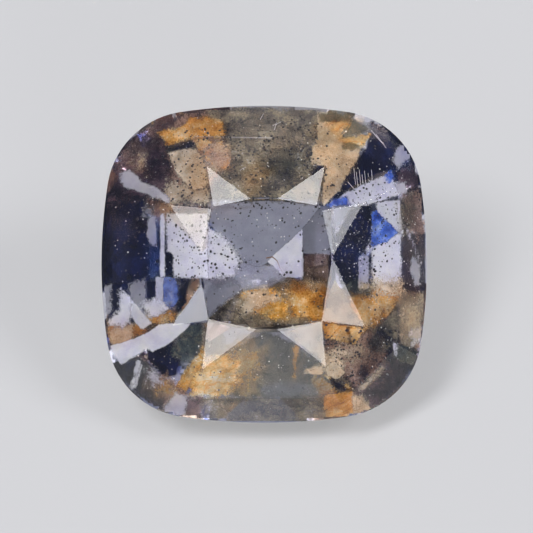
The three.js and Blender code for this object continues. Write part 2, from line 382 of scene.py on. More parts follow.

# Painted shade: dark navy films, put where the facets show only the dark of the room, stand in for the
# stone's extinction.
painted_extinction = filling("painted_extinction_shade", ("05071a", "0e1438", "222e68"), 0.5, 0.6, patchy=0.1)
film_piece("painted_extinction_veils", painted_extinction, [
    ([(-3.92, 1.51), (-3.4, 1.75), (-2.91, 1.75), (-2.79, 1.41), (-2.79, -0.51), (-3.3, -0.66),
      (-3.94, -0.56)], 1.3, 0.05, 0.97),
    ([(-3.89, -0.49), (-2, -0.34), (-1.9, -0.91), (-2.39, -1.6), (-3.89, -2.11)], 0.6, 0.05, 0.97),
    ([(-2.86, -2.06), (-2.24, -1.89), (-2.12, -2.09), (-2.05, -2.36), (-2.17, -2.73),
      (-2.49, -2.8), (-2.91, -2.36)], 1.2, 0.05, 0.97),
    ([(-3.65, -2.51), (-3.06, -2.28), (-2.69, -2.6), (-2.27, -3.1), (-2.61, -3.64), (-3.2, -3.15)],
     0.5, 0.06, 0.97),
    ([(2.6, 3.55), (2.95, 3.45), (3.39, 3.06), (3.76, 2.29), (3.29, 1.8), (3.05, 2.32),
      (2.75, 2.2), (2.16, 1.9), (1.84, 1.75), (1.94, 2.05), (2.31, 2.61), (2.51, 2.86), (2.6, 3.2)],
     0.6, 0.04, 0.97),
    ([(3.39, 0.74), (3.98, 0.79), (3.98, -0.71), (3.39, -0.66)], 0.35, 0.05, 0.85),
    ([(-2.44, 0.23), (-2.22, 0.23), (-2.22, -0.32), (-2.44, -0.32)], 0.3, 0.03, 0.9),
    ([(2.16, 1.43), (2.65, 1.48), (2.63, 0.6), (2.38, 0.2), (2.36, -0.54), (1.87, -0.49),
      (1.67, 0.05), (1.69, 0.6)], 0.4, 0.05, 0.95),
    ([(-2.12, -0.32), (-1.78, -0.29), (-1.97, -0.88), (-2.15, -1.18)], 0.32, 0.06, 0.9),
    ([(2.31, -2.65), (2.51, -2.51), (2.8, -3), (2.6, -3.29)], 0.34, 0.15, 0.5),
    ([(3.15, -1.96), (3.29, -1.82), (3.59, -2.11), (3.44, -2.31)], 0.3, 0.15, 0.5),
    ([(-1.43, -0.68), (-1.04, -0.54), (-0.64, -0.64), (-0.94, -0.93), (-1.28, -1.32), (-1.46, -1.28)],
     0.55, 0.3, 0.55),
    ([(-1.28, -0.34), (-0.69, -0.34), (-0.79, -0.49), (-1.24, -0.54)], 0.5, 0.2, 0.3),
    ([(2.95, -2.51), (3.54, -2.16), (3.64, -2.6), (3.2, -3.15), (2.7, -3.44), (2.56, -3.15)],
     0.28, 0.3, 0.5),
    ([(2.95, -1.99), (3.15, -1.82), (3.22, -2.16), (3.17, -2.51), (3.05, -2.41)], 0.3, 0.08, 0.7),
    ([(3.47, -2.46), (3.79, -2.36), (3.69, -2.75), (3.44, -2.95)], 0.26, 0.1, 0.7),
    ([(-0.69, -1.72), (-0.05, -1.57), (0.64, -1.82), (0.54, -2.16), (-0.5, -2.11)], 0.42, 0.3, 0.3),
    ([(-2.42, 2.98), (-1.73, 3.03), (-1.68, 2.84), (-2.37, 2.71)], 0.31, 0.1, 0.4),
    ([(-3.5, 2.56), (-3.2, 2.81), (-2.81, 2.76), (-2.42, 2.56), (-2.27, 2.17), (-2.61, 2.02),
      (-3.06, 2.22)], 0.38, 0.3, 0.25),
    ([(3.29, -0.93), (3.29, -1.87), (2.95, -1.82), (2.8, -1.62)], 0.3, 0.06, 0.4),
    ([(0.91, 1.38), (1.64, 1.43), (1.69, 0.28), (0.91, 0.28)], 0.5, 0.03, 0.3),
    ([(0.93, 0.25), (1.64, 0.25), (1.57, -0.44), (0.93, -0.29)], 0.42, 0.05, 0.2),
    ([(1.32, -2.7), (1.67, -2.83), (2.19, -3.12), (2.14, -3.2), (1.62, -2.97), (1.3, -2.8)],
     0.24, 0.05, 0.5),
    ([(3.27, -0.88), (3.34, -0.88), (3.34, -1.92), (3.27, -1.92)], 0.24, 0.05, 0.5),
    ([(2.73, -1.62), (2.83, -1.52), (3.27, -1.94), (3.2, -2.04)], 0.24, 0.05, 0.5),
    ([(2.01, -1.52), (2.09, -1.5), (2.14, -1.94), (2.06, -1.92)], 0.25, 0.04, 0.4),
    ([(-2.37, 2.86), (-1.68, 3.01), (-1.65, 2.93), (-2.32, 2.76)], 0.25, 0.05, 0.5),
    ([(-3.8, -2.16), (-3.35, -2.41), (-3.2, -2.65), (-3.35, -3.29), (-3.65, -2.95), (-3.84, -2.56)],
     0.26, 0.1, 0.6),
    ([(-3.06, -2.46), (-2.81, -2.65), (-2.42, -3.15), (-2.56, -3.44), (-3.16, -3.24), (-3.2, -2.8)],
     0.26, 0.25, 0.35),
])

# Clay films are olive-grey, with little rust.
clay = filling("olive_clay", ("3a3634", "7f786e", "bcae92", "e6e2da"), 0.7, 0.6, grit=0.4, folds=0.9)
film_piece("clay_veils", clay, [
    ([(-1.5, 3.87), (1.3, 3.85), (1.32, 3.1), (1.15, 2.75), (1.2, 2.3), (1.4, 1.55), (0.6, 1.6),
      (-0.6, 1.6), (-1.3, 1.6), (-1.0, 2.3), (-0.95, 3.1), (-1.3, 3.5)], 0.42, 0.2, 0.97),
    ([(-1.9, -3.3), (1.45, -3.3), (1.55, -3.85), (0.0, -3.9), (-1.95, -3.85)], 0.3, 0.03, 0.7),
    ([(-0.95, -0.9), (-0.5, -0.55), (0.0, -0.45), (0.6, -0.4), (1.4, -0.5), (1.45, -1.4), (0.1, -1.65),
      (-1.4, -1.35)], 0.7, 0.1, 0.9),
    ([(2.75, -0.85), (3.35, -0.8), (3.35, -1.4), (3.05, -1.75), (2.5, -1.55)], 0.35, 0.3, 0.8),
    ([(3.35, -0.65), (3.98, -0.7), (3.98, -1.55), (3.65, -2.1), (3.3, -1.9), (3.3, -1.5)], 0.3, 0.15, 0.9),
    ([(1.65, -2.8), (2.1, -2.95), (2.15, -3.15), (1.7, -3.1)], 0.3, 0.06, 0.9),
    ([(3.34, 1.58), (3.59, 1.68), (3.64, 0.84), (3.39, 0.79)], 0.22, 0.2, 0.6),
    ([(3.54, 0.69), (3.88, 0.35), (3.93, -0.29), (3.64, 0.05)], 0.24, 0.2, 0.5),
    ([(1.62, -2.78), (1.99, -2.75), (2.26, -3.15), (1.87, -3.24)], 0.32, 0.08, 0.8),
    ([(2.63, -1.62), (2.97, -1.42), (3.24, -1.32), (3.2, -1.99), (2.85, -2.16), (2.58, -1.99)],
     0.3, 0.15, 0.7),
    ([(3.29, -0.98), (3.29, -1.92), (2.85, -1.72), (2.8, -1.55)], 0.28, 0.04, 0.8),
    ([(0.93, -0.04), (1.62, -0.04), (1.62, -0.49), (0.93, -0.41)], 0.5, 0.06, 0.75),
    ([(0.14, -0.39), (0.88, -0.29), (1.62, -0.44), (1.62, -0.68), (0.88, -0.59), (0.14, -0.64)],
     0.45, 0.15, 0.4),
    ([(-0.05, -1.82), (0.64, -1.87), (1.37, -2.51), (1.32, -3.15), (-0.05, -3.15)], 0.4, 0.3, 0.4),
    ([(0.78, -3.39), (1.37, -3.34), (1.37, -3.98), (0.78, -3.98)], 0.24, 0.15, 0.7),
])

# Slate films are clay with no rust at all, so they look blue beside the rest.
slate = filling(
    "blue_clay", ("2a3238", "5c6866", "989078", "c8c8bc"), 0.7, 0.55,
    grit=0.35, folds=0.8, stretch=(1, 2.5, 1), turn=-12,
)
film_piece("slate_veils", slate, [
    ([(-0.7, -2.0), (0.0, -1.65), (0.65, -1.9), (1.4, -2.45), (1.0, -2.65), (1.45, -2.75), (1.45, -3.3),
      (-0.8, -3.3)], 0.45, 0.1, 0.97),
    ([(-2.35, -2.1), (-2.15, -1.85), (-1.85, -1.6), (-1.45, -1.4), (-1.45, -2.2), (-1.85, -2.6),
      (-2.1, -2.4)], 0.4, 0.2, 0.95),
    ([(-2.4, 2.85), (-1.8, 3.05), (-1.65, 2.85), (-2.0, 2.9), (-2.3, 2.75)], 0.28, 0.1, 0.9),
    ([(2.1, 3.6), (2.4, 3.55), (2.6, 3.4), (2.6, 3.2), (1.95, 3.1), (1.95, 3.3)], 0.3, 0.15, 0.95),
    ([(-1.3, -2.2), (-0.7, -2.0), (-0.4, -3.3), (-0.9, -3.3)], 0.45, 0.3, 0.8),
    ([(-0, 2.76), (0.64, 2.91), (0.98, 2.42), (0.64, 2.12), (0.09, 2.27)], 0.38, 0.4, 0.5),
    ([(1.32, 3.75), (2.11, 3.72), (2.09, 3.52), (1.37, 3.52)], 0.26, 0.1, 0.85),
    ([(-2.07, -1.47), (-1.46, -1.45), (-1.46, -1.77), (-2.17, -1.77)], 0.34, 0.1, 0.9),
    ([(1.99, -0.39), (2.7, -0.49), (2.65, -0.78), (2.04, -0.73)], 0.3, 0.15, 0.8),
    ([(3.17, -1.99), (3.84, -2.11), (3.74, -2.46), (3.39, -2.41), (3.17, -2.26)], 0.26, 0.05, 0.8),
    ([(-0.05, -3.05), (1.13, -2.95), (1.42, -3.2), (-0.05, -3.24)], 0.36, 0.1, 0.7),
    ([(1.87, 2.96), (2.11, 3.01), (2.43, 2.88), (2.16, 2.81), (1.92, 2.84)], 0.24, 0.05, 0.8),
    ([(3.2, -1.94), (3.79, -2.16), (3.74, -2.51), (3.22, -2.31)], 0.22, 0.03, 0.6),
    ([(1.13, -2.8), (1.47, -2.7), (1.77, -3.05), (1.62, -3.27), (1.28, -3.2)], 0.23, 0.1, 0.35),
])

# Amber films are stained by rust: gold where thin, brown where thick.
amber = filling("rust_amber", ("5e3e26", "c88434", "f0b45c", "fbdca8", "fff2dc"), 0.7, 0.75, grit=0.3)
film_piece("amber_veils", amber, [
    ([(-2.61, 3.25), (-2.37, 2.93), (-1.73, 3.06), (-1.01, 3.18), (-0.92, 3.25), (-1.06, 3.55),
      (-1.46, 3.62), (-1.83, 3.6), (-1.92, 3.45), (-2.2, 3.33)], 0.3, 0.1, 0.97),
    ([(-1.73, 3.11), (-1.33, 3.08), (-1.26, 2.98), (-1.58, 2.76), (-1.7, 2.91)], 0.29, 0.06, 0.9),
    ([(-3.2, 2.61), (-2.96, 2.52), (-2.91, 2.27), (-3.16, 2.32)], 0.3, 0.25, 0.35),
    ([(-2.61, 1.48), (-2.32, 1.43), (-2.07, 0.99), (-2.37, 1.09)], 0.3, 0.2, 0.3),
    ([(0.49, -0.49), (1.47, -0.54), (1.57, -1.4), (0.64, -1.32)], 0.55, 0.25, 0.9),
    ([(2.04, -0.73), (2.75, -0.59), (3.37, -0.56), (3.42, -0.93), (2.95, -1.32), (2.46, -1.62),
      (2.28, -1.42)], 0.35, 0.2, 0.97),
    ([(0.71, -2.01), (0.86, -2.01), (0.83, -2.41), (0.73, -2.92), (0.68, -2.8)], 0.38, 0.06, 0.6),
    ([(-3.87, -1.5), (-3.6, -1.4), (-3.2, -1.47), (-2.81, -1.52), (-2.91, -1.74), (-3.35, -1.92),
      (-3.84, -2.01)], 0.24, 0.12, 0.6),
    ([(-2.91, -1.18), (-2.56, -1.15), (-2.22, -1.05), (-2.27, -1.37), (-2.66, -1.47), (-2.86, -1.4)],
     0.26, 0.12, 0.8),
    ([(-2.81, -2.95), (-2.42, -2.75), (-2.12, -3.05), (-2.27, -3.29), (-2.66, -3.24)], 0.26, 0.25, 0.5),
    ([(0.54, -0.41), (1.62, -0.44), (1.57, -0.68), (0.64, -0.64)], 0.5, 0.15, 0.5),
    ([(1.4, -1.4), (2.09, -1.47), (2.09, -1.87), (1.47, -1.77)], 0.3, 0.2, 0.2),
    ([(2.31, -3.07), (2.6, -2.75), (2.88, -2.51), (2.97, -2.58), (2.7, -2.85), (2.41, -3.15)],
     0.26, 0.08, 0.3),
    ([(-3.89, -1.37), (-3.3, -1.5), (-2.86, -1.57), (-2.56, -1.37), (-2.22, -1.23), (-2.22, -1.47),
      (-2.81, -1.67), (-3.3, -1.89), (-3.84, -2.01)], 0.22, 0.2, 0.45),
])

# Gold films are thin, bright flakes of rust over cream dust, folded along the facets.
gold = filling(
    "gold_rust", ("a87434", "f6b854", "ffe2a4", "fffcf0"), 0.5, 0.8,
    grit=0.3, folds=0.4, stretch=(2, 1, 1), turn=25,
)
film_piece("gold_veils", gold, [
    ([(-1.48, 2.76), (-1.06, 3.01), (-0.84, 2.61), (-0.84, 2.37), (-1.04, 2.29), (-1.28, 2.39),
      (-1.43, 2.54)], 0.3, 0.08, 0.97),
    ([(1.6, 3.65), (2.1, 3.55), (1.95, 3.35), (1.85, 3.1), (1.6, 3.3)], 0.28, 0.2, 0.7),
    ([(1.85, 3.1), (2.6, 3.2), (2.45, 2.85), (2.1, 2.85), (1.85, 3.05)], 0.28, 0.08, 0.9),
    ([(-0.55, -0.7), (-0.1, -0.52), (0.3, -0.6), (0.55, -0.95), (0.6, -1.3), (0.3, -1.35), (-0.2, -1.15)],
     0.55, 0.2, 0.97),
    ([(1.4, -1.43), (2.0, -1.5), (2.5, -1.55), (2.15, -1.95), (1.7, -1.85), (1.45, -1.8)],
     0.33, 0.05, 0.97),
    ([(-2.1, -2.9), (-1.85, -2.5), (-1.5, -2.0), (-1.45, -2.4), (-1.7, -2.75), (-1.9, -3.15),
      (-2.25, -3.05)], 0.35, 0.08, 0.95),
    ([(-1.8, -2.8), (-1.45, -2.4), (-1.0, -2.2), (-0.6, -2.3), (-0.6, -2.7), (-0.85, -3.2), (-1.4, -3.28),
      (-1.85, -3.25)], 0.35, 0.2, 0.97),
    ([(1.15, -2.95), (1.45, -2.75), (1.7, -3.1), (1.7, -3.2), (1.45, -3.3)], 0.32, 0.15, 0.8),
    ([(1.45, -3.25), (2.15, -3.15), (2.2, -3.78), (1.55, -3.85)], 0.26, 0.1, 0.7),
    ([(-0.5, 2.17), (-0.15, 2.56), (0.09, 2.37), (-0.05, 1.83), (-0.35, 1.78)], 0.38, 0.3, 0.3),
    ([(1.57, 3.75), (2.06, 3.65), (2.01, 3.2), (1.67, 3.3)], 0.3, 0.2, 0.6),
    ([(-0.94, -1.96), (-0.45, -1.79), (-0.05, -2.16), (-0.15, -3.15), (-0.79, -3.29)], 0.4, 0.4, 0.4),
    ([(1.1, -2.8), (1.32, -2.7), (1.62, -2.75), (1.77, -3.15), (1.47, -3.24), (1.23, -3.05)],
     0.3, 0.08, 0.8),
    ([(1.96, -2.9), (2.11, -2.95), (2.19, -3.2), (1.99, -3.17)], 0.3, 0.08, 0.7),
    ([(2.09, -1.52), (2.46, -1.6), (2.21, -1.99), (2.09, -1.87)], 0.31, 0.04, 0.8),
    ([(-1.06, 3.01), (-0.84, 2.61), (-0.84, 2.37), (-1.04, 2.32), (-1.24, 2.56), (-1.24, 2.88)],
     0.27, 0.1, 0.8),
    ([(-1.92, 2.42), (-1.58, 2.52), (-1.41, 2.17), (-1.48, 1.88), (-1.78, 1.88)], 0.28, 0.15, 0.15),
    ([(1.3, 3.6), (2.11, 3.75), (2.01, 3.3), (2.51, 3.16), (2.11, 2.27), (1.62, 1.68),
      (1.42, 2.07), (1.42, 2.61), (1.18, 2.81)], 0.26, 0.25, 0.15),
    ([(1.18, -2.88), (1.4, -2.75), (1.69, -3.02), (1.69, -3.22), (1.37, -3.22)], 0.25, 0.04, 0.6),
    ([(1.45, -3.2), (2.19, -3.12), (2.21, -3.64), (1.5, -3.79)], 0.24, 0.04, 0.6),
])

# Sand films hold pale, dusty rust.
sand = filling("rusty_sand", ("a08266", "ecd2b0", "fbeed6", "fffcf4"), 0.8, 0.75, grit=0.35)
film_piece("sand_veils", sand, [
    ([(1.3, 3.78), (2.1, 3.6), (2.05, 3.4), (1.85, 3.1), (2.4, 2.95), (2.3, 2.6), (1.95, 2.05), (1.85, 1.8),
      (1.45, 1.42), (1.42, 1.6), (1.5, 2.4), (1.15, 2.45), (1.15, 2.8), (1.3, 3.15)], 0.35, 0.05, 0.97),
    ([(-2.37, 2.76), (-1.7, 2.88), (-1.53, 2.61), (-1.41, 2.42), (-1.41, 1.88), (-1.73, 1.8),
      (-1.97, 2.02), (-2.17, 2.27)], 0.32, 0.06, 0.97),
    ([(-2.32, 2.07), (-1.83, 1.97), (-1.38, 1.9), (-1.36, 1.48), (-2.27, 1.48), (-2.47, 1.65)],
     0.33, 0.2, 0.75),
    ([(1.45, -2.1), (1.65, -2.3), (1.95, -2.5), (1.9, -2.75), (1.55, -2.6), (1.3, -2.7), (1.0, -2.65),
      (1.4, -2.45)], 0.32, 0.1, 0.95),
    ([(2.15, -3.15), (2.65, -3.6), (2.2, -3.75)], 0.22, 0.05, 0.9),
    ([(-0.6, -1.0), (-0.45, -0.7), (0.0, -0.55), (0.4, -0.85), (0.1, -0.95), (-0.3, -1.2), (-0.6, -1.3)],
     0.5, 0.2, 0.85),
    ([(-1.4, 2.6), (-1.1, 2.95), (-0.9, 2.9), (-1.0, 2.3), (-1.3, 2.2)], 0.26, 0.25, 0.7),
    ([(-0.6, 3.35), (-0.23, 3.6), (0.64, 3.5), (0.88, 3.06), (0.29, 2.66), (-0.2, 2.81)],
     0.38, 0.4, 0.35),
    ([(0.54, 1.83), (0.88, 2.12), (1.28, 1.97), (1.37, 1.68), (0.88, 1.58)], 0.38, 0.3, 0.4),
    ([(2.0, -2.0), (2.3, -1.9), (2.6, -2.2), (2.3, -2.4), (2.0, -2.3)], 0.36, 0.3, 0.5),
    ([(3.35, -0.95), (3.7, -1.0), (3.75, -1.6), (3.4, -1.6)], 0.25, 0.3, 0.5),
    ([(-3.2, 2.65), (-2.95, 2.65), (-2.9, 2.4), (-3.15, 2.35)], 0.28, 0.2, 0.5),
    ([(-3.85, -1.6), (-3.2, -1.45), (-3.25, -1.9), (-3.75, -2.05)], 0.22, 0.1, 0.7),
    ([(1.52, -2.16), (1.82, -1.96), (2.06, -2.16), (1.87, -2.51), (1.62, -2.65)], 0.3, 0.2, 0.8),
    ([(2.16, -3.29), (2.46, -3.2), (2.6, -3.54), (2.26, -3.69)], 0.24, 0.15, 0.8),
    ([(1.7, -0.3), (2.4, -1.5), (1.42, -1.38)], 0.15, 0.04, 0.45),
    ([(1.44, -1.38), (1.46, -2.4), (0.45, -1.66)], 0.15, 0.04, 0.5),
    ([(2.73, -0.41), (3.34, -0.41), (3.34, -0.73), (2.73, -0.73)], 0.28, 0.35, 0.9),
    ([(2.31, -0.44), (2.56, -0.44), (2.56, -0.66), (2.31, -0.66)], 0.28, 0.1, 0.5),
    ([(0.98, -2.6), (1.23, -2.53), (1.47, -2.51), (1.42, -2.7), (1.18, -2.68)], 0.28, 0.06, 0.95),
    ([(1.47, -2.36), (1.77, -2.21), (1.99, -2.51), (1.67, -2.75), (1.5, -2.65)], 0.28, 0.08, 0.9),
    ([(3.59, -0.93), (3.79, -0.88), (3.86, -1.52), (3.44, -1.52)], 0.24, 0.2, 0.6),
    ([(2.31, -3.05), (2.6, -2.73), (2.88, -2.48), (2.97, -2.53), (2.7, -2.83), (2.41, -3.15)],
     0.27, 0.08, 0.55),
    ([(-2.44, 1.31), (-1.31, 1.31), (-1.41, 0.4), (-1.51, 0.3)], 0.15, 0.04, 0.2),
    ([(-1.53, -1.28), (0.04, -1.62), (-1.51, -2.56)], 0.15, 0.04, 0.2),
    ([(-1.63, 2.81), (-1.28, 2.96), (-0.94, 2.81), (-0.79, 2.47), (-1.09, 2.27), (-1.43, 2.42)],
     0.25, 0.3, 0.45),
    ([(1.5, -2.51), (1.72, -2.36), (1.99, -2.65), (1.79, -2.83), (1.55, -2.73)], 0.25, 0.03, 0.9),
    ([(0.93, -2.53), (1.18, -2.58), (1.42, -2.48), (1.45, -2.7), (1.13, -2.7)], 0.25, 0.03, 0.8),
    ([(2.26, -3.24), (2.63, -3.54), (2.51, -3.71), (2.26, -3.74)], 0.22, 0.03, 0.9),
    ([(-1.43, 2.81), (-1.19, 2.96), (-0.94, 2.86), (-0.82, 2.56), (-1.04, 2.37), (-1.33, 2.52)],
     0.24, 0.25, 0.4),
    ([(3.29, -0.73), (3.93, -0.78), (3.93, -1.99), (3.29, -1.82)], 0.22, 0.2, 0.35),
])

# Painted light: thin blue films stand in for the blue flashes of fire from the stone's dispersion.
painted_fire = filling("painted_blue_fire", ("2340a0", "5880e8", "b8d0fa"), 0.3, 0.8)
film_piece("painted_fire_veils", painted_fire, [
    ([(2.63, 1.28), (2.8, 1.33), (3.32, 0.82), (3.05, 0.6), (2.63, 0.42)], 0.28, 0.05, 0.95),
    ([(-2.49, -0.32), (-2.15, -0.32), (-2.1, -0.88), (-2.27, -1.13), (-2.47, -1.03)], 0.3, 0.05, 0.7),
    ([(2.95, 2.22), (3.15, 2.34), (3.22, 2.12), (3.05, 2.02)], 0.26, 0.1, 0.85),
    ([(1.55, 1.43), (1.72, 1.6), (2.01, 1.63), (2.11, 1.43), (1.87, 1.41)], 0.26, 0.1, 0.7),
    ([(-2.81, 1.21), (-2.56, 1.21), (-2.56, -0.32), (-2.81, -0.32)], 0.3, 0.2, 0.3),
    ([(2.26, 0.25), (2.56, 0.3), (2.56, -0.29), (2.31, -0.29)], 0.36, 0.1, 0.35),
    ([(-3.5, -0.64), (-3.28, -0.78), (-3.3, -1.18), (-3.5, -1.18)], 0.3, 0.15, 0.5),
    ([(3.29, 2.81), (3.59, 2.81), (3.54, 2.42), (3.29, 2.37)], 0.3, 0.2, 0.4),
])

# Pale films are dense with the finest dust, which scatters all light.
pale = filling("white_dust", ("dad7f1", "f2f1fd", "ffffff"), 0.7, 0.92, patchy=0.1)
film_piece("pale_veils", pale, [
    ([(-3.55, 2.24), (-3.3, 2.29), (-3.08, 2.17), (-2.98, 2), (-2.64, 1.9), (-2.34, 1.63),
      (-2.34, 1.51), (-2.69, 1.63), (-3.03, 1.78), (-3.43, 1.88), (-3.55, 2.05)], 0.22, 0.06, 0.65),
    ([(1.72, 1.51), (1.99, 1.75), (2.48, 1.97), (3.05, 2.22), (3.2, 2.02), (3.32, 1.7),
      (2.97, 1.58), (2.65, 1.48), (2.24, 1.43)], 0.28, 0.05, 0.9),
    ([(2.7, 1.51), (3.32, 1.58), (3.42, 0.69), (3.24, 0.84), (2.8, 1.28)], 0.28, 0.04, 0.85),
    ([(3.12, 2.56), (3.27, 2.81), (3.44, 2.98), (3.64, 2.66), (3.27, 2.32)], 0.2, 0.1, 0.6),
    ([(3.22, 2.05), (3.47, 2), (3.54, 1.75), (3.29, 1.75)], 0.2, 0.08, 0.7),
    ([(2.65, 0.42), (3.05, 0.6), (3.34, 0.79), (3.37, 0.69), (3.34, -0.51), (2.7, -0.49),
      (2.63, 0.05)], 0.3, 0.06, 0.97),
    ([(2.31, 0.2), (2.56, 0.23), (2.56, -0.61), (2.31, -0.59)], 0.3, 0.04, 0.62),
    ([(-3.82, -2.01), (-3.5, -1.94), (-2.88, -1.69), (-2.56, -1.47), (-1.78, -1.42),
      (-1.92, -1.62), (-2.34, -1.94), (-2.74, -2.16), (-2.86, -2.06), (-3.52, -2.48)], 0.2, 0.03, 0.97),
    ([(-3.55, -0.56), (-3.28, -0.83), (-2.74, -1.45), (-2.98, -1.62), (-3.2, -1.37), (-3.3, -1.23)],
     0.2, 0.04, 0.9),
    ([(-3.55, -0.64), (-3.28, -0.83), (-3.28, -1.42), (-3.5, -1.55), (-3.8, -1.45), (-3.72, -1.25),
      (-3.57, -1.15)], 0.2, 0.12, 0.97),
    ([(-3.03, -0.98), (-2.81, -0.86), (-2.49, -0.93), (-2.32, -1.1), (-2.56, -1.28), (-2.86, -1.3)],
     0.2, 0.15, 0.97),
    ([(-3.3, -0.49), (-2.91, -0.36), (-2.91, -0.98), (-3.16, -1.08), (-3.3, -0.88)], 0.28, 0.1, 0.4),
    ([(-3.97, -0.54), (-3.77, -0.51), (-3.75, -1.13), (-3.87, -1.28)], 0.2, 0.1, 0.5),
    ([(-2.66, -0.32), (-2.48, -0.32), (-2.48, -1.08), (-2.66, -0.88)], 0.25, 0.03, 0.8),
    ([(-2.55, 1.24), (-2.44, 1.24), (-2.44, -0.32), (-2.55, -0.32)], 0.25, 0.03, 0.95),
    ([(-2.86, 1.16), (-2.66, 1.19), (-2.64, 0.45), (-2.76, 0.45), (-2.88, 0.69)], 0.3, 0.05, 0.5),
    ([(-3.35, -3.12), (-3.08, -2.51), (-2.98, -2.41), (-3.16, -3.05)], 0.22, 0.06, 0.75),
    ([(-2.91, -2.65), (-2.64, -2.6), (-2.52, -2.9), (-2.76, -3)], 0.22, 0.2, 0.7),
    ([(-2.56, -3.69), (-2.17, -3.17), (-1.88, -3.2), (-1.97, -3.74)], 0.22, 0.1, 0.65),
    ([(-2.39, 1.24), (-1.38, 1.24), (-1.38, -0.34), (-2.22, -0.34), (-2.24, 0.25), (-2.39, 0.3)],
     0.3, 0.05, 0.95),
    ([(-1.43, 0.99), (-1.14, 0.77), (-0.79, 0.42), (-0.57, 0.05), (-0.72, -0.32), (-1.43, -0.36)],
     0.45, 0.15, 0.95),
    ([(0.93, 0.87), (0.97, -0.32), (0.46, -0.32), (0.22, -0.04), (0.04, 0.05)], 0.5, 0.03, 0.88),
    ([(-0.35, -0.41), (-0.15, -0.32), (-0, -0.41), (-0.2, -0.51)], 0.5, 0.1, 0.9),
    ([(3.56, -1.64), (3.88, -1.6), (3.84, -1.89), (3.64, -1.99)], 0.24, 0.15, 0.8),
    ([(3.64, 0.2), (3.81, 0.05), (3.84, -0.49), (3.69, -0.54), (3.59, -0.14)], 0.22, 0.08, 0.6),
    ([(3.17, -1.92), (3.27, -1.96), (3.29, -2.26), (3.2, -2.28)], 0.24, 0.05, 0.6),
    ([(3.42, 0.96), (3.49, 0.94), (3.88, 0.05), (3.84, -0.04)], 0.2, 0.05, 0.6),
    ([(2.48, 3.45), (3.05, 3.2), (3.2, 2.98), (2.6, 3.28)], 0.25, 0.3, 0.25),
    ([(-0.69, -0.29), (-0.45, 0), (0.04, -0.09), (0.49, -0.09), (0.49, -0.36), (-0.05, -0.49),
      (-0.5, -0.49)], 0.5, 0.3, 0.3),
    ([(3.15, -1.92), (3.24, -1.94), (3.27, -2.28), (3.2, -2.28)], 0.2, 0.03, 0.7),
    ([(-1.58, 2.91), (-1.24, 2.96), (-0.89, 2.76), (-0.79, 2.47), (-1.09, 2.32), (-1.43, 2.42)],
     0.22, 0.25, 0.15),
    ([(-2.47, -0.34), (-2.15, -0.34), (-2.17, -1.03), (-2.42, -1.03)], 0.22, 0.15, 0.2),
    ([(-3.3, -3.05), (-3.13, -2.36), (-3.01, -2.36), (-3.16, -2.85), (-3.25, -3.1)], 0.2, 0.05, 0.7),
])

# Smoke films hold an even, grey dust; the large one under the top of the table is painted shade instead, a
# grey sheet that stands in for the floor in the stone's shadow, seen through the window there.
smoke_and_painted_shade = filling("grey_dust_and_painted_shade", ("9496a6", "a4a6b4", "b2b4c2"), 0.9, 0.9, patchy=0.05)
film_piece("smoke_veils_and_painted_shade", smoke_and_painted_shade, [
    # Painted shade: the floor in the stone's shadow, as seen through the window under the table's top
    ([(-1.38, 1.6), (1.4, 1.6), (1.4, 1.41), (0.93, 0.84), (0.07, 0.03), (-0.13, -0.07),
      (-0.5, 0.05), (-0.74, 0.4), (-1.14, 0.77), (-1.38, 0.99)], 0.55, 0.03, 0.93),
    ([(0.93, 0.87), (1.4, 1.42), (1.64, 1.46), (1.69, 0.25), (0.93, 0.25)], 0.55, 0.03, 0.6),
    ([(-1.51, -0.32), (-0.6, -0.29), (0.46, -0.19), (0.32, -0.46), (-0.5, -0.61), (-0.94, -0.91),
      (-1.46, -1.42)], 0.6, 0.1, 0.75),
    ([(-0.74, -0.36), (-0.57, 0.05), (-0.05, -0.04), (0.27, -0.04), (0.54, -0.36), (0.14, -0.56),
      (-0.5, -0.64)], 0.57, 0.06, 0.9),
    ([(-0.05, -2.95), (1.32, -2.9), (1.37, -3.17), (-0.05, -3.22)], 0.35, 0.2, 0.4),
    ([(-2.22, -1.45), (-1.56, -0.56), (-1.46, -0.59), (-1.36, -1.42)], 0.18, 0.04, 0.7),
    ([(-2.98, 1.43), (-2.71, 1.43), (-2.71, 1.14), (-2.98, 1.14)], 0.4, 0.08, 0.6),
    ([(1.67, 1.43), (2.16, 1.43), (1.72, 0.69)], 0.2, 0.06, 0.5),
])


# Guest crystals: clear, rounded grains in a skin of water, which the spinel grew round.
# The water's index is so low that their rims mirror everything and look like dark rings.
GUEST_IOR = 0.77
GUEST_SHAPE = (1.0, 0.8, 0.7)
# Each grain's place across the stone, its gap under the crown and its radius, in millimetres
GUESTS = [
    (-2.84, 1.3, 0.2, 0.15), (-2.88, 1.51, 0.2, 0.08), (-2.37, 1.46, 0.2, 0.06),
    (-2.05, -0.52, 0.2, 0.09), (3.4, -1.22, 0.2, 0.09), (0.05, -0.95, 0.3, 0.08),
    (2.75, 1.62, 0.2, 0.06), (2.45, 1.95, 0.2, 0.05),
]

clear_guest, finish = new_material("clear_guest")
guest_shine = add_node(
    clear_guest.node_tree, "ShaderNodeBsdfPrincipled",
    Base_Color=(1, 1, 1, 1), Roughness=0.02, IOR=GUEST_IOR, Transmission_Weight=1.0,
)
clear_guest.node_tree.links.new(guest_shine.outputs["BSDF"], finish.inputs["Surface"])
guests = bmesh.new()
for x, y, gap, size in GUESTS:
    grown = bmesh.ops.create_icosphere(guests, subdivisions=3, radius=size * MM)
    bmesh.ops.scale(guests, vec=GUEST_SHAPE, verts=grown["verts"])
    bmesh.ops.translate(guests, vec=under_crown(x, y, gap), verts=grown["verts"])
guest_mesh = bpy.data.meshes.new("guest_crystals")
guests.to_mesh(guest_mesh)
guests.free()
guest_mesh.shade_smooth()
guest_mesh.materials.append(clear_guest)
guest_crystals = bpy.data.objects.new("guest_crystals", guest_mesh)
bpy.context.scene.collection.objects.link(guest_crystals)
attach(guest_crystals, "root")


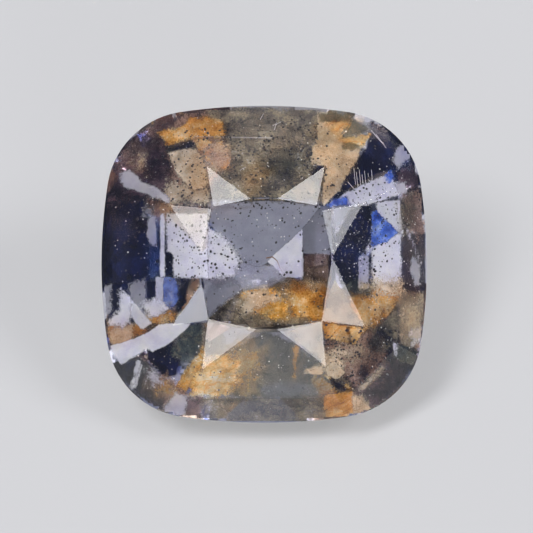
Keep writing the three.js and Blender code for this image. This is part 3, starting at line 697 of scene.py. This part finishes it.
# Needles: fine rods of rutile, straight and white in the dark corner, and one bent hair of
# brown iron ore under the table. The spinel grew round them, so they keep their sharp edges.
def needle(bundle, course, gap, thickness):
    """A four-sided needle under a course of points in millimetres."""
    spots = [under_crown(x, y, gap) for x, y in course]
    rings = []
    for i, spot in enumerate(spots):
        run = spots[min(i + 1, len(spots) - 1)] - spots[max(i - 1, 0)]
        side = run.cross(rise).normalized()
        ways = (side, rise, -side, -rise)
        rings.append([bundle.verts.new(spot + way * thickness * MM / 2) for way in ways])
    for ring, after in zip(rings, rings[1:]):
        for i in range(4):
            bundle.faces.new((ring[i], ring[i - 1], after[i - 1], after[i]))
    bundle.faces.new(rings[0])
    bundle.faces.new(rings[-1][::-1])


def needle_piece(name, material, needles):
    """One piece made of several needles."""
    bundle = bmesh.new()
    for course, gap, thickness in needles:
        needle(bundle, course, gap, thickness)
    mesh = bpy.data.meshes.new(name)
    bundle.to_mesh(mesh)
    bundle.free()
    mesh.materials.append(material)
    piece = bpy.data.objects.new(name, mesh)
    bpy.context.scene.collection.objects.link(piece)
    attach(piece, "root")


def grain_material(name, hex_code, roughness):
    """An opaque mineral, of one colour because each grain is too fine to show more."""
    material, finish = new_material(name)
    look = add_node(
        material.node_tree, "ShaderNodeBsdfPrincipled",
        Base_Color=linear(hex_code), Roughness=roughness,
    )
    material.node_tree.links.new(look.outputs["BSDF"], finish.inputs["Surface"])
    return material


# A comb of seven needles side by side, each from its place across the stone and how far
# down it lies, and then the single ones
comb = [
    ([(x, 2.35 - 0.3 * down), (x + 0.04, 1.95 - 0.25 * down)], 0.25, 0.009)
    for x, down in (
        (2.2, 0.0), (2.26, 0.3), (2.33, 0.1), (2.4, 0.5), (2.46, 0.2), (2.55, 0.4), (2.63, 0.1),
    )
]
needle_piece("white_needles", grain_material("rutile_needles", "f6f4ff", 0.4), comb + [
    ([(2.62, 3.3), (2.9, 2.98)], 0.25, 0.01),
    ([(2.75, 3.2), (3.0, 2.85)], 0.25, 0.008),
    ([(2.05, 2.02), (2.2, 1.85)], 0.25, 0.01),
    ([(-1.75, 3.1), (-0.6, 3.12), (0.2, 3.11)], 0.2, 0.005),
    ([(0.2, 3.4), (0.42, 3.5)], 0.15, 0.008),
    ([(0.25, 3.3), (0.3, 3.48)], 0.15, 0.008),
    ([(-0.1, 3.55), (-0.02, 3.7)], 0.15, 0.008),
    ([(-0.6, 2.3), (-0.45, 2.38)], 0.15, 0.008),
])
needle_piece("brown_hair", grain_material("iron_hair", "7a5636", 0.5), [
    ([(0.05, 0.15), (0.2, 0.18), (0.32, 0.08), (0.38, -0.08), (0.45, -0.2), (0.55, -0.26)], 0.4, 0.03),
])


# Specks: grains of other minerals that the crystal grew round. Most are black, some pale.
# Each is a few hundredths of a millimetre across, and they crowd in clouds. A bed is given
# as a film is, and its strength is how densely the specks lie.
BLACK_BEDS = [
    ([(-3.4, -2.2), (-3.5, 2.3), (-2.2, 3.4), (2.2, 3.4), (3.5, 2.3), (3.4, -2.2), (2.2, -3.3),
      (-2.2, -3.3)], 0.22, 0.3, 0.12),
    ([(-1.3, 1.4), (1.3, 1.4), (0.9, 0.9), (-1.0, 0.9)], 0.22, 0.3, 0.1),
    ([(-2.5, 1.2), (-0.8, 1.2), (-0.3, 0.4), (-0.5, -0.4), (-2.4, -0.4)], 0.22, 0.3, 0.65),
    ([(-2.4, 2.9), (-0.9, 3.7), (1.5, 3.7), (1.6, 1.6), (0.4, 1.2), (-1.4, 1.5), (-2.2, 1.5)],
     0.22, 0.3, 0.75),
    ([(1.5, 1.4), (3.2, 2.3), (3.4, 0.4), (2.6, -0.5), (1.7, 0.3)], 0.22, 0.3, 0.8),
    ([(1.4, -1.6), (3.3, -1.7), (3.2, -2.6), (1.9, -3.4), (1.4, -2.6)], 0.22, 0.3, 1.0),
]
PALE_BEDS = [
    ([(-3.8, -2.4), (-3.8, 2.4), (-2.2, 3.6), (2.4, 3.6), (3.8, 2.4), (3.8, -2.4), (2.2, -3.5),
      (-2.2, -3.5)], 0.25, 0.3, 0.25),
    ([(2.1, 1.5), (2.7, 1.4), (2.6, 0.2), (2.3, -0.5), (1.8, -0.4), (1.6, 0.1), (1.7, 0.6)],
     0.22, 0.1, 1.0),
    ([(2.2, 1.9), (3.4, 2.9), (3.2, 2.2), (2.6, 2.0)], 0.22, 0.2, 0.7),
    ([(3.5, 1.4), (3.9, 1.2), (3.9, -1.2), (3.4, -1.4)], 0.22, 0.2, 0.6),
]
SPECK_HEART = in_stone(0.0, 0.0, -2.2)
BED_RIM = 0.5
# The narrowest speck against the roundest, and the power that makes large ones rare
NARROWEST = 0.4
RARITY = 2.0
FULL_TURN = 6.3


def speck_tree(name, material):
    """Scatters specks over a bed, each sunk a random share of the way to the stone's heart."""
    tree = bpy.data.node_groups.new(name, "GeometryNodeTree")
    inputs = {}
    for label, kind in (
        ("Geometry", "NodeSocketGeometry"),
        ("Density", "NodeSocketFloat"),
        ("Smallest", "NodeSocketFloat"),
        ("Largest", "NodeSocketFloat"),
        ("Deepest", "NodeSocketFloat"),
        ("Heart", "NodeSocketVector"),
        ("Seed", "NodeSocketInt"),
    ):
        item = tree.interface.new_socket(label, in_out="INPUT", socket_type=kind)
        inputs[label] = item.identifier
    tree.interface.new_socket("Geometry", in_out="OUTPUT", socket_type="NodeSocketGeometry")
    given = add_node(tree, "NodeGroupInput").outputs
    cover, strength = (
        add_node(
            tree, "GeometryNodeInputNamedAttribute", {"data_type": "FLOAT"}, Name=layer,
        ).outputs[0]
        for layer in ("cover", "strength")
    )
    within = math_value(tree, "ADD", cover, BED_RIM, clamp=True)
    crowding = math_value(tree, "MULTIPLY", within, strength)
    density = math_value(tree, "MULTIPLY", crowding, given["Density"])
    points = add_node(
        tree, "GeometryNodeDistributePointsOnFaces",
        Mesh=given["Geometry"], Density=density, Seed=given["Seed"],
    )
    share = add_node(
        tree, "FunctionNodeRandomValue", {"data_type": "FLOAT"}, _2=0.0, _3=given["Deepest"],
        Seed=given["Seed"],
    )
    place = add_node(tree, "GeometryNodeInputPosition").outputs["Position"]
    deeper = add_node(
        tree, "ShaderNodeMix", {"data_type": "VECTOR"},
        _0=share.outputs[1], _4=place, _5=given["Heart"],
    )
    sunk = add_node(
        tree, "GeometryNodeSetPosition",
        Geometry=points.outputs["Points"], Position=deeper.outputs[1],
    )
    grain = add_node(tree, "GeometryNodeMeshIcoSphere", Radius=1.0, Subdivisions=1)
    size = add_node(
        tree, "FunctionNodeRandomValue", {"data_type": "FLOAT_VECTOR"},
        _0=(NARROWEST, NARROWEST, NARROWEST), _1=(1, 1, 1), Seed=given["Seed"],
    )
    rarity = add_node(
        tree, "FunctionNodeRandomValue", {"data_type": "FLOAT"}, _2=0.0, _3=1.0, Seed=given["Seed"],
    )
    few_large = math_value(tree, "POWER", rarity.outputs[1], RARITY)
    skewed = add_node(
        tree, "ShaderNodeVectorMath", {"operation": "SCALE"}, _0=size.outputs[0], Scale=few_large,
    )
    scale = add_node(
        tree, "ShaderNodeMapRange", {"data_type": "FLOAT_VECTOR"}, Vector=skewed.outputs[0],
        _9=given["Smallest"], _10=given["Largest"],
    )
    turn = add_node(
        tree, "FunctionNodeRandomValue", {"data_type": "FLOAT_VECTOR"},
        _0=(0, 0, 0), _1=(FULL_TURN, FULL_TURN, FULL_TURN), Seed=given["Seed"],
    )
    grains = add_node(
        tree, "GeometryNodeInstanceOnPoints", Points=sunk.outputs["Geometry"],
        Instance=grain.outputs["Mesh"], Scale=scale.outputs["Vector"], Rotation=turn.outputs[0],
    )
    real = add_node(tree, "GeometryNodeRealizeInstances", Geometry=grains.outputs["Instances"])
    dyed = add_node(
        tree, "GeometryNodeSetMaterial", Geometry=real.outputs["Geometry"], Material=material,
    )
    result = add_node(tree, "NodeGroupOutput")
    tree.links.new(dyed.outputs["Geometry"], result.inputs["Geometry"])
    return tree, inputs


def speck_piece(name, material, beds, **sizes):
    """One piece of specks, scattered by their tree over beds and made a plain mesh."""
    bed = film_mesh(name + "_bed", beds)
    piece = bpy.data.objects.new(name, bed)
    bpy.context.scene.collection.objects.link(piece)
    tree, inputs = speck_tree(name, material)
    scatter = piece.modifiers.new("scatter", "NODES")
    scatter.node_group = tree
    for label, value in sizes.items():
        scatter[inputs[label]] = value
    scatter[inputs["Heart"]] = tuple(SPECK_HEART)
    graph = bpy.context.evaluated_depsgraph_get()
    mesh = bpy.data.meshes.new_from_object(piece.evaluated_get(graph))
    piece.modifiers.remove(scatter)
    piece.data = mesh
    bpy.data.meshes.remove(bed)
    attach(piece, "root")


black_grain = grain_material("graphite_grains", "17151a", 0.5)
pale_grain = grain_material("calcite_grains", "f4f2ee", 0.4)
speck_piece(
    "black_specks", black_grain, BLACK_BEDS,
    Density=1.4e8, Smallest=0.005 * MM, Largest=0.05 * MM, Deepest=0.04, Seed=3,
)
speck_piece(
    "pale_specks", pale_grain, PALE_BEDS,
    Density=6e7, Smallest=0.004 * MM, Largest=0.024 * MM, Deepest=0.03, Seed=8,
)


# The surface that the stone lies on: a smooth board of frosted acrylic, lit a little from
# behind, which only faintly mirrors the stone. A film of air between the two keeps the
# stone's lowest facet a mirror, as it is in reality.
BOARD = "616163"
BOARD_GLOW = 0.32
BOARD_ROUGHNESS = 0.35
BOARD_SIZE = 0.8
AIR_FILM = 0.01 * MM

pale_board, finish = new_material("pale_board")
board_shader = add_node(
    pale_board.node_tree, "ShaderNodeBsdfPrincipled", Base_Color=linear(BOARD),
    Roughness=BOARD_ROUGHNESS, Emission_Color=(1, 1, 1, 1), Emission_Strength=BOARD_GLOW,
)
pale_board.node_tree.links.new(board_shader.outputs["BSDF"], finish.inputs["Surface"])
board_mesh = bpy.data.meshes.new("board")
half = BOARD_SIZE / 2
board_mesh.from_pydata(
    [(x * half, y * half, -AIR_FILM) for x, y in ((-1, -1), (1, -1), (1, 1), (-1, 1))],
    [], [(0, 1, 2, 3)],
)
board_mesh.materials.append(pale_board)
board = bpy.data.objects.new("board", board_mesh)
bpy.context.scene.collection.objects.link(board)


# The studio: a soft grey room, with the dark of the camera straight over the table and soft
# boxes round it. Each is a patch of sky: compass angle round the table, degrees away from
# the camera, half width and half height in degrees, and brightness.
ROOM = 0.28
ROOM_TINT = "ccd6ff"
HOOD = 0.07
HOOD_RIM = (34.0, 44.0)
SOFT_BOXES = [
    (0, 43.8, 13.0, 4.0, 4.0),
    (90, 43.8, 13.0, 4.0, 5.5),
    (180, 43.8, 13.0, 4.0, 3.6),
    (270, 43.0, 13.0, 4.0, 4.5),
    (137, 31.0, 12.0, 8.0, 50.0),
    (28, 49.0, 9.0, 11.0, 25.0),
    (300, 34.0, 9.0, 9.0, 17.0),
    (0, 18.5, 8.0, 3.5, 1.0),
    (187, 27.0, 9.0, 5.5, 1.0),
    (270, 22.0, 9.0, 10.0, 0.38),
    (180, 70.0, 8.0, 6.0, 0.6),
    (167, 54.0, 5.0, 5.0, 0.6),
    (28, 66.0, 8.0, 6.0, 1.2),
    (340, 56.0, 7.0, 6.0, 1.2),
]
SOFT_RIM = 1.5
# Each box shows on its own side of the stone only, and fades in between these two cosines
FRONT_START = 0.3
FRONT_END = 0.4

studio = bpy.data.worlds.new("studio")
bpy.context.scene.world = studio
studio.use_nodes = True
tree = studio.node_tree
tree.nodes.clear()
sky = add_node(tree, "ShaderNodeOutputWorld")
towards = add_node(tree, "ShaderNodeTexCoord").outputs["Generated"]


def along(direction):
    """How much of the looked-at direction lies along another one: the cosine between them."""
    return add_node(
        tree, "ShaderNodeVectorMath", {"operation": "DOT_PRODUCT"}, _0=towards, _1=direction,
    ).outputs["Value"]


def ramp(value, start, end):
    """1 inside, 0 outside, and a soft rim from start to end."""
    return add_node(
        tree, "ShaderNodeMapRange", {"interpolation_type": "SMOOTHSTEP"},
        _0=value, _1=start, _2=end, _3=0.0, _4=1.0,
    ).outputs["Result"]


def soft_box(at, away, wide, high, brightness):
    """The brightness that one soft box adds in the looked-at direction."""
    turn, lean = math.radians(at), math.radians(away)
    outward = right * math.cos(turn) + top * math.sin(turn)
    sideways = top * math.cos(turn) - right * math.sin(turn)
    middle = rise * math.cos(lean) + outward * math.sin(lean)
    upward = rise * math.sin(lean) - outward * math.cos(lean)
    lit = ramp(along(middle), FRONT_START, FRONT_END)
    for direction, size in ((sideways, wide), (upward, high)):
        start = math.sin(math.radians(size + SOFT_RIM))
        end = math.sin(math.radians(size - SOFT_RIM))
        off = math_value(tree, "ABSOLUTE", along(direction))
        lit = math_value(tree, "MULTIPLY", lit, ramp(off, start, end))
    return math_value(tree, "MULTIPLY", lit, brightness)


inner, outer = (math.cos(math.radians(angle)) for angle in HOOD_RIM)
hooded = ramp(along(rise), outer, inner)
dim = math_value(tree, "MULTIPLY_ADD", hooded, HOOD - ROOM, ROOM)
walls = add_node(tree, "ShaderNodeBackground", Color=linear(ROOM_TINT), Strength=dim)
light = 0.0
for box in SOFT_BOXES:
    light = math_value(tree, "ADD", light, soft_box(*box))
lamps = add_node(tree, "ShaderNodeBackground", Color=(1, 1, 1, 1), Strength=light)
all_round = add_node(
    tree, "ShaderNodeAddShader",
    _0=walls.outputs["Background"], _1=lamps.outputs["Background"],
)
tree.links.new(all_round.outputs["Shader"], sky.inputs["Surface"])


# The camera looks straight down on the table, as the photograph does. The stone's 8 mm
# fill 325 of the picture's 533 pixels, and its middle lies a little off the picture's.
CAMERA_DISTANCE = 250.0
GIRDLE_DEPTH = 1.63
PIXEL = 8.0 / 325
FRAME_WIDTH = 533 * PIXEL
AIM_RIGHT = 2.3 * PIXEL
AIM_TOP = -2.3 * PIXEL
SENSOR_WIDTH = 36.0

camera_data = bpy.data.cameras.new("camera")
camera_data.sensor_width = SENSOR_WIDTH
camera_data.lens = SENSOR_WIDTH * CAMERA_DISTANCE / FRAME_WIDTH
camera_data.clip_start = 0.001
camera_data.clip_end = 10.0
camera = bpy.data.objects.new("camera", camera_data)
bpy.context.scene.collection.objects.link(camera)
camera.matrix_world = Matrix.Translation(
    in_stone(AIM_RIGHT, AIM_TOP, CAMERA_DISTANCE - GIRDLE_DEPTH),
) @ Matrix((right, top, rise)).transposed().to_4x4()
bpy.context.scene.camera = camera

# Light bounces many times between the facets, and passes through many films.
cycles = bpy.context.scene.cycles
cycles.max_bounces = 32
cycles.transmission_bounces = 32
cycles.glossy_bounces = 16
cycles.transparent_max_bounces = 64
cycles.caustics_refractive = True
cycles.caustics_reflective = True
cycles.use_denoising = True
bpy.context.scene.view_settings.view_transform = "Standard"
